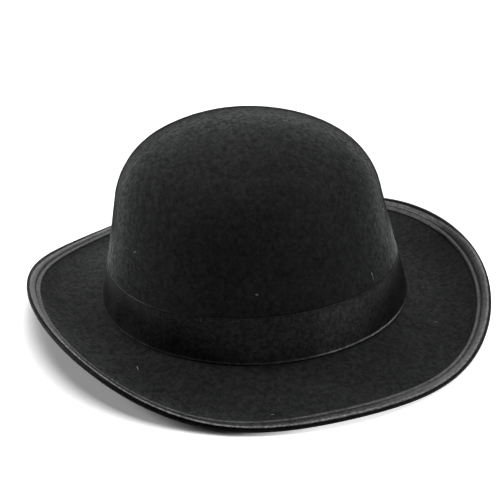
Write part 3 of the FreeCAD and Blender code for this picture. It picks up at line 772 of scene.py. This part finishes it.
# Painted highlight and painted shade on the binding: colour and gloss are painted 1.6 times brighter on
# the outer roll just short of the 38th ring, dark from the 38th to the 46th ring on the fold round the
# brim's edge, and at 0.6 on the underside; towards the back the painted dark starts 2.8 mm further in.
FOLD_RING = 40
fold_start, fold_end = spread_of(edge_rings)[[38, 46]]
EDGE_LOOK = satin_ribbon(
    "edge_ribbon", grey(0.003), grey(0.009), 0.9 * MM, 0.08 * MM, 0.42, 0.46, True,
    [(0.0, 1.0), (fold_start - 2.0 * MM, 1.0), (fold_start - 1.3 * MM, 1.6),
     (fold_start - 0.5 * MM, 1.6), (fold_start, 0.08), (fold_end, 0.08),
     (fold_end + 1.0 * MM, 0.6), (40.0 * MM, 0.6)],
    fade=(0.76, 0.93, 0.04), creep=2.8 * MM)
binding = ring_skin("brim_binding_ribbon", edge_rings, EDGE_LOOK, closed=True, reference=FOLD_RING)
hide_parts("brim_binding")
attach(binding, "root")


def binding_stitch_paths():
    """A stitch dips into the ribbon at each end and stands slightly proud between."""
    paths = []
    for side in (1.0, -1.0):
        for i in range(STITCH_COUNT):
            middle = TAU * (i + 0.5) / STITCH_COUNT
            span = TAU / STITCH_COUNT * 0.36
            phi = middle + np.linspace(-span, span, 6)
            here, along, normal = brim_frame(GROOVE, phi)
            rise = np.array([-0.12, 0.10, 0.2, 0.2, 0.10, -0.12]) * MM
            level = GAP + BULK * 0.42 + rise
            if side < 0.0:
                level = -FELT - level
            slant = along * (np.linspace(-0.10, 0.10, 6) * MM)[:, None]
            paths.append(here + slant + normal * level[:, None])
    return paths


stitches = joined_tubes("binding_stitch_threads", binding_stitch_paths(), 0.19 * MM, THREAD_LOOK)
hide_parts("binding_stitches")
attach(stitches, "root")


# -------------------- bow on the wearer's left

def strip_grid(name, front, back, material):
    """Closed thin pad between a front and a back grid of points, joined round their rims."""
    rows, columns = front.shape[:2]
    vertices = np.concatenate([front.reshape(-1, 3), back.reshape(-1, 3)]).tolist()
    offset = rows * columns
    faces = []
    for i in range(rows - 1):
        for j in range(columns - 1):
            a = i * columns + j
            quad = (a, a + 1, a + columns + 1, a + columns)
            faces.append(quad)
            faces.append(tuple(offset + q for q in reversed(quad)))
    rim = list(range(columns))
    rim += [i * columns + columns - 1 for i in range(1, rows)]
    rim += [(rows - 1) * columns + j for j in range(columns - 2, -1, -1)]
    rim += [i * columns for i in range(rows - 2, 0, -1)]
    for a, b in zip(rim, rim[1:] + rim[:1]):
        faces.append((b, a, offset + a, offset + b))
    mesh = bpy.data.meshes.new(name)
    mesh.from_pydata(vertices, [], faces)
    layer = mesh.uv_layers.new(name="weave")
    flat = np.zeros((len(mesh.loops), 2))
    index = np.zeros(len(mesh.loops), dtype=int)
    mesh.loops.foreach_get("vertex_index", index)
    step = index % offset
    u = np.linalg.norm(front[0, 1:] - front[0, :-1], axis=1).sum() / (columns - 1)
    v = np.linalg.norm(front[1:, 0] - front[:-1, 0], axis=1).sum() / (rows - 1)
    flat[:, 0] = (step % columns) * u
    flat[:, 1] = (step // columns) * v
    layer.data.foreach_set("uv", flat.ravel())
    return add_object(name, mesh, material)


def pad_places(rows, columns, up, across):
    """Even places over a pad, as one array up it and one across it, each from start to end."""
    return np.meshgrid(np.linspace(*up, rows), np.linspace(*across, columns), indexing="ij")


def rounded(level, sharpness):
    """1 in the middle and falling to 0 at level 1 or -1, the later the sharper."""
    return np.sqrt(np.maximum(0.0, 1.0 - np.abs(level) ** sharpness))


def bow_spot(sideways, height, lift):
    """Point over the hatband: distance round from the bow's middle, height and lift."""
    radius = np.hypot(BREAK_HALF[0] * math.sin(BOW_TURN), BREAK_HALF[1] * math.cos(BOW_TURN))
    return wall_at(BOW_TURN + sideways / radius, height, lift)


def bow_loop(name, direction):
    """Flat folded loop: pinched at the middle, full height and rounded at its fold."""
    level, share = pad_places(25, 41, (-1.0, 1.0), (0.0, 1.0))
    centre = 0.5 * (BAND_LOW + BAND_SIDE)
    sideways = direction * (1.0 + 27.6 * share) * MM
    half = (8.2 + 2.7 * np.minimum(1.0, share * 2.2) ** 0.8) * MM
    fold = rounded(np.maximum(0.0, (share - 0.86) / 0.14), 2)
    crease = 0.30 * MM * np.cos(level * 7.5) * np.exp(-share * 3.6)
    body = (0.55 + 0.85 * np.sin(math.pi * np.minimum(1.0, share * 0.72 + 0.22))) * MM
    lift = (0.25 * MM + body * fold) * (0.45 + 0.55 * rounded(level, 10)) + crease * fold
    height = centre + level * half + 0.25 * MM * np.sin(share * 3.0) * level
    front = bow_spot(sideways, height, 0.95 * MM + lift)
    back = bow_spot(sideways, height, 0.88 * MM)
    if direction < 0.0:
        front = front[:, ::-1]
        back = back[:, ::-1]
    return strip_grid(name, front, back, BOW_LOOK)


bow_front = bow_loop("bow_loop_front", -1.0)
bow_back = bow_loop("bow_loop_back", 1.0)
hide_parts("hatband_bow")


def bow_knot():
    """Ribbon wrapped over the bow's middle, with soft lengthwise pleats."""
    level, side = pad_places(41, 29, (0.0, 1.0), (-1.0, 1.0))
    low, high = BAND_LOW + 0.1 * MM, BAND_SIDE - 0.1 * MM
    turn = rounded(2.0 * level - 1.0, 9)
    waist = (6.3 - 0.7 * np.sin(math.pi * level)) * MM
    pleat = 0.14 * MM * np.cos(side * 9.0) + 0.05 * MM * np.cos(side * 23.0 + level * 2.0)
    lift = (2.15 * MM * turn + 0.25 * MM) * (0.35 + 0.65 * rounded(side, 6)) + pleat * turn
    height = low + (high - low) * level
    front = bow_spot(side * waist, height, 0.95 * MM + lift)
    back = bow_spot(side * waist, height, 0.9 * MM)
    return strip_grid("bow_knot", front, back, BOW_LOOK)


knot = bow_knot()
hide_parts("bow_wrap")
for piece in (bow_front, bow_back, knot):
    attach(piece, "root")


def tack_paths():
    """Short upright stitches at the ribbon's upper edge."""
    share = np.linspace(0.0, 1.0, 6)
    paths = []
    for degrees in (50.0, 130.0, 230.0, 310.0):
        phi = np.full(6, math.radians(degrees))
        height = blend(BAND_SIDE, BAND_FRONT, phi) - (2.3 - 1.8 * share) * MM
        paths.append(wall_at(phi, height, (0.72 + 0.22 * np.sin(math.pi * share)) * MM))
    return paths


tacks = joined_tubes("hatband_tack_threads", tack_paths(), 0.16 * MM, THREAD_LOOK)
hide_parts("hatband_tacks")
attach(tacks, "root")


# -------------------- inside: sweatband and its foot

def sweatband_rings(count):
    phi = angles(count)
    wave = smooth_noise(wall_at(phi, 0.02, 0.0), 0.03, 12.0)
    rings = []
    for share in np.linspace(0.0, 1.0, 22):
        height = SWEAT_LOW + (SWEAT_HIGH - SWEAT_LOW) * share
        round_off = 0.25 * MM * (math.exp(-(share / 0.02) ** 2) + math.exp(-((1.0 - share) / 0.02) ** 2))
        inset = SWEAT_IN - round_off + 0.20 * MM * wave * share
        rings.append(wall_at(phi, height + 0.15 * MM * wave * share, -inset))
    for share in (1.0, 0.66, 0.33, 0.0):
        height = SWEAT_LOW + (SWEAT_HIGH - SWEAT_LOW) * share
        rings.append(wall_at(phi, height - 0.1 * MM * share, -SWEAT_OUT - 0.05 * MM))
    return np.array(rings)


sweatband = ring_skin("sweatband_leather", sweatband_rings(480), LEATHER_LOOK, closed=True)
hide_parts("sweatband")
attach(sweatband, "root")


FOOT_STITCHES = 150


def overlock_paths():
    """Slanted stitches along the sweatband's foot, up and down in turn."""
    share = np.linspace(0.0, 1.0, 6)
    lift = -SWEAT_IN - (0.02 + 0.20 * np.sin(math.pi * share)) * MM
    paths = []
    for i in range(FOOT_STITCHES):
        phi = TAU * (i + 0.15 + 0.7 * share) / FOOT_STITCHES
        rise = 1.0 - share if i % 2 else share
        paths.append(wall_at(phi, SWEAT_LOW + (1.4 + 1.5 * rise) * MM, lift))
    return paths


def seam_paths():
    """Level stitches one above another over the sweatband's joint at the back."""
    walk = np.linspace(-1.0, 1.0, 6)
    phi = 0.5 * math.pi + walk * 1.3 * MM / BREAK_HALF[0]
    lift = -SWEAT_IN - (0.05 + 0.2 * (1.0 - walk * walk)) * MM
    lowest = 0.55 * SWEAT_HIGH
    return [wall_at(phi, lowest + (2.4 * i + 0.4 * walk) * MM, lift) for i in range(6)]


foot_stitches = joined_tubes("sweatband_foot_stitches", overlock_paths(), 0.2 * MM, TAN_THREAD_LOOK)
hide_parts("sweatband_stitches")
seam_stitches = joined_tubes("sweatband_seam_threads", seam_paths(), 0.2 * MM, TAN_THREAD_LOOK)
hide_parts("sweatband_seam_stitches")
for piece in (foot_stitches, seam_stitches):
    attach(piece, "root")

for node, look in (("sweatband_reed", REED_LOOK), ("reed_tape", TAPE_LOOK)):
    node_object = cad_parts[node]
    for slot in node_object.material_slots:
        slot.material = look


def rear_bow():
    """Small ribbon bow on the sweatband at the back."""
    level, side = pad_places(17, 61, (-1.0, 1.0), (-1.0, 1.0))
    half = (1.6 + 2.2 * np.minimum(1.0, np.abs(side) * 1.7)) * MM
    puff = 0.35 + 0.65 * np.sin(math.pi * np.abs(side))
    middle = 0.7 * np.exp(-(side / 0.14) ** 4)
    lift = (0.3 + (0.85 * puff + middle) * rounded(level, 6)) * MM
    height = 0.3 * SWEAT_HIGH + level * half * np.where(middle > 0.35, 1.15, 1.0)
    phi = 0.5 * math.pi - side * 8.3 * MM / (BREAK_HALF[0] - 6.0 * MM)
    front = wall_at(phi, height, -SWEAT_IN - lift)
    back = wall_at(phi, height, -SWEAT_IN - 0.12 * MM)
    return strip_grid("sweatband_rear_bow", front, back, BOW_LOOK)


small_bow = rear_bow()
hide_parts("sweatband_bow")
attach(small_bow, "root")


# -------------------- inside: lining

LINING_THICK, PLEATS = 0.3 * MM, 72
TIP_MARGIN = 1.2                       # degrees that the side's and the tip's edges lie apart


def offset_crown(profile, phi, depth):
    rings = np.array([oval(r, h, phi) for r, h in profile])
    return rings - normals_of(rings) * depth


def lining_side_rings(count):
    """Side of the lining, gathered into soft pleats towards the tip piece."""
    phi = angles(count)
    profile = crown_profile(math.radians(TIP_LEAN), LINING_LOW, 34, 24)
    shown = offset_crown(profile, phi, LINING_IN)
    normals = normals_of(shown)
    for i, ring in enumerate(shown):
        share = 1.0 - i / (len(profile) - 1)
        depth = (0.05 + 0.55 * share ** 3) * MM
        wander = 0.35 * np.sin(phi * 5.0 + share * 3.0) + 0.25 * np.sin(phi * 11.0)
        fold = 0.5 + 0.5 * np.sin(phi * PLEATS + wander * 2.0)
        shown[i] = ring - normals[i] * (depth * fold)[:, None]
    hidden = offset_crown(profile, phi, LINING_IN - LINING_THICK)
    return np.concatenate([hidden, shown[::-1]])


lining_side = ring_skin("lining_side_satin", lining_side_rings(720), LINING_LOOK, closed=True)
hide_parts("lining_side")


def lining_tip_rings(count):
    phi = angles(count)
    leans = np.radians(np.linspace(89.0, TIP_LEAN + TIP_MARGIN, 30))
    profile = [crown_point(lean) for lean in leans]
    shown = offset_crown(profile, phi, LINING_IN)
    shown[..., 2] -= 0.25 * MM * (1.0 + smooth_noise(shown, 0.02, 15.0))
    hidden = offset_crown(profile, phi, LINING_IN - LINING_THICK)
    return hidden, shown


hidden_tip, shown_tip = lining_tip_rings(360)
top_z = BREAK_Z + CROWN_HEIGHT - LINING_IN
lining_tip = ring_skin(
    "lining_tip_satin", np.concatenate([hidden_tip, shown_tip[::-1]]), LINING_LOOK,
    first_tip=(0.0, 0.0, top_z + LINING_THICK), last_tip=(0.0, 0.0, top_z - 0.25 * MM))
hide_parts("lining_tip")


def piping_rings(count):
    """Two-ply twisted cord over the seam; rings run along the section's turn."""
    phi = angles(count)
    profile = [crown_point(math.radians(TIP_LEAN + lean)) for lean in (TIP_MARGIN, 0.0)]
    centre = offset_crown(profile, phi, LINING_IN + 0.87 * MM)[1]
    ahead = np.roll(centre, -1, axis=0) - np.roll(centre, 1, axis=0)
    ahead /= np.linalg.norm(ahead, axis=1, keepdims=True)
    outward = np.cross(ahead, np.array([0.0, 0.0, 1.0]))
    upward = np.cross(outward, ahead)
    rings = []
    twists = 110
    for turn in np.linspace(0.0, TAU, 16, endpoint=False):
        radius = 0.70 * MM * (0.80 + 0.20 * np.abs(np.cos(turn - phi * twists)))
        spot = outward * (radius * math.cos(turn))[:, None] + upward * (radius * math.sin(turn))[:, None]
        rings.append(centre + spot)
    return np.array(rings)


piping = ring_skin("lining_tip_piping", piping_rings(1800), LINING_LOOK, closed=True)
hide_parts("lining_piping")
for piece in (lining_side, lining_tip, piping):
    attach(piece, "root")


# -------------------- floor, light and camera

floor_mesh = bpy.data.meshes.new("studio_floor")
floor_mesh.from_pydata([(-4, -4, 0), (4, -4, 0), (4, 6, 0), (-4, 6, 0)], [], [(0, 1, 2, 3)])
floor_shader = Shader("studio_floor")
paper = floor_shader.ramp(floor_shader.noise(30.0, 3.0), [(0.0, grey(0.89)), (1.0, grey(0.91))])
floor_shader.set(Base_Color=paper, Roughness=0.9)
# The floor glows faintly under the rim's right front, so that no shadow shows there.
glow = floor_shader.ramp(floor_shader.along((0.55, -0.83, 0.0)),
                         [(0.085, grey(0.0)), (0.12, grey(0.7)), (0.18, grey(0.7)), (0.22, grey(0.0))])
floor_shader.set(Emission_Color=(1.0, 1.0, 1.0, 1.0), Emission_Strength=glow)
floor = add_object("studio_floor", floor_mesh, floor_shader.material, smooth=False)

world = bpy.data.worlds.new("studio")
bpy.context.scene.world = world
world.use_nodes = True
background = world.node_tree.nodes["Background"]
background.inputs["Color"].default_value = (1.0, 1.0, 1.0, 1.0)
# The surround is white to look at and gives the hat almost no light.
seen = world.node_tree.nodes.new("ShaderNodeLightPath")
strength = world.node_tree.nodes.new("ShaderNodeMapRange")
strength.inputs["To Min"].default_value = 0.02
strength.inputs["To Max"].default_value = 1.0
world.node_tree.links.new(seen.outputs["Is Camera Ray"], strength.inputs["Value"])
world.node_tree.links.new(strength.outputs["Result"], background.inputs["Strength"])


def area_light(name, place, target, size, power, height=None):
    light = bpy.data.lights.new(name, "AREA")
    light.shape = "RECTANGLE"
    light.size = size
    light.size_y = height or size
    light.energy = power
    lamp = bpy.data.objects.new(name, light)
    bpy.context.scene.collection.objects.link(lamp)
    lamp.location = place
    aim = Vector(target) - Vector(place)
    lamp.rotation_euler = aim.to_track_quat("-Z", "Y").to_euler()
    return lamp


area_light("overhead_softbox", (0.36, 0.15, 2.4), (0.0, 0.0, 0.0), 2.0, 80.0)
area_light("back_softbox", (0.25, 2.6, 1.75), (0.0, 0.0, 0.05), 1.8, 30.0, height=1.0)
area_light("rim_strip", (1.45, 2.4, 0.55), (0.0, 0.0, 0.05), 1.0, 7.0, height=0.7)
area_light("left_softbox", (-2.0, 1.6, 1.0), (0.0, 0.0, 0.05), 0.6, 55.0, height=1.2)
area_light("right_softbox", (2.1, 0.15, 1.05), (0.0, 0.0, 0.05), 0.3, 18.0, height=0.9)
area_light("front_softbox", (1.6, -2.0, 0.9), (0.0, 0.0, 0.0), 1.0, 28.0)

camera_data = bpy.data.cameras.new("camera")
camera = bpy.data.objects.new("camera", camera_data)
bpy.context.scene.collection.objects.link(camera)
bpy.context.scene.camera = camera
DISTANCE = 0.966
AZIMUTH, ELEVATION, ROLL = math.radians(-17.9), math.radians(25.7), math.radians(4.06)
camera_data.sensor_width = 36.0
camera_data.lens = 111.6
camera_data.clip_start = 0.05
back = Vector((math.sin(AZIMUTH) * math.cos(ELEVATION),
               -math.cos(AZIMUTH) * math.cos(ELEVATION), math.sin(ELEVATION)))
ring_centre = Vector((0.0, 0.0, BREAK_Z))
eye = ring_centre + back * DISTANCE
level_right = Vector((0, 0, 1)).cross(back).normalized()
level_up = back.cross(level_right)
right = level_right * math.cos(ROLL) - level_up * math.sin(ROLL)
up = level_up * math.cos(ROLL) + level_right * math.sin(ROLL)
# The hat sits a little right of and below the picture's centre, as shares of its distance.
RIGHT_OF_CENTRE, BELOW_CENTRE = 0.00245, 0.02458
back = (back - up * BELOW_CENTRE + right * RIGHT_OF_CENTRE).normalized()
right = up.cross(back).normalized()
up = back.cross(right)
camera.matrix_world = Matrix((
    (right.x, up.x, back.x, eye.x),
    (right.y, up.y, back.y, eye.y),
    (right.z, up.z, back.z, eye.z),
    (0.0, 0.0, 0.0, 1.0),
))

scene = bpy.context.scene
scene.view_settings.view_transform = "Standard"
scene.view_settings.look = "None"
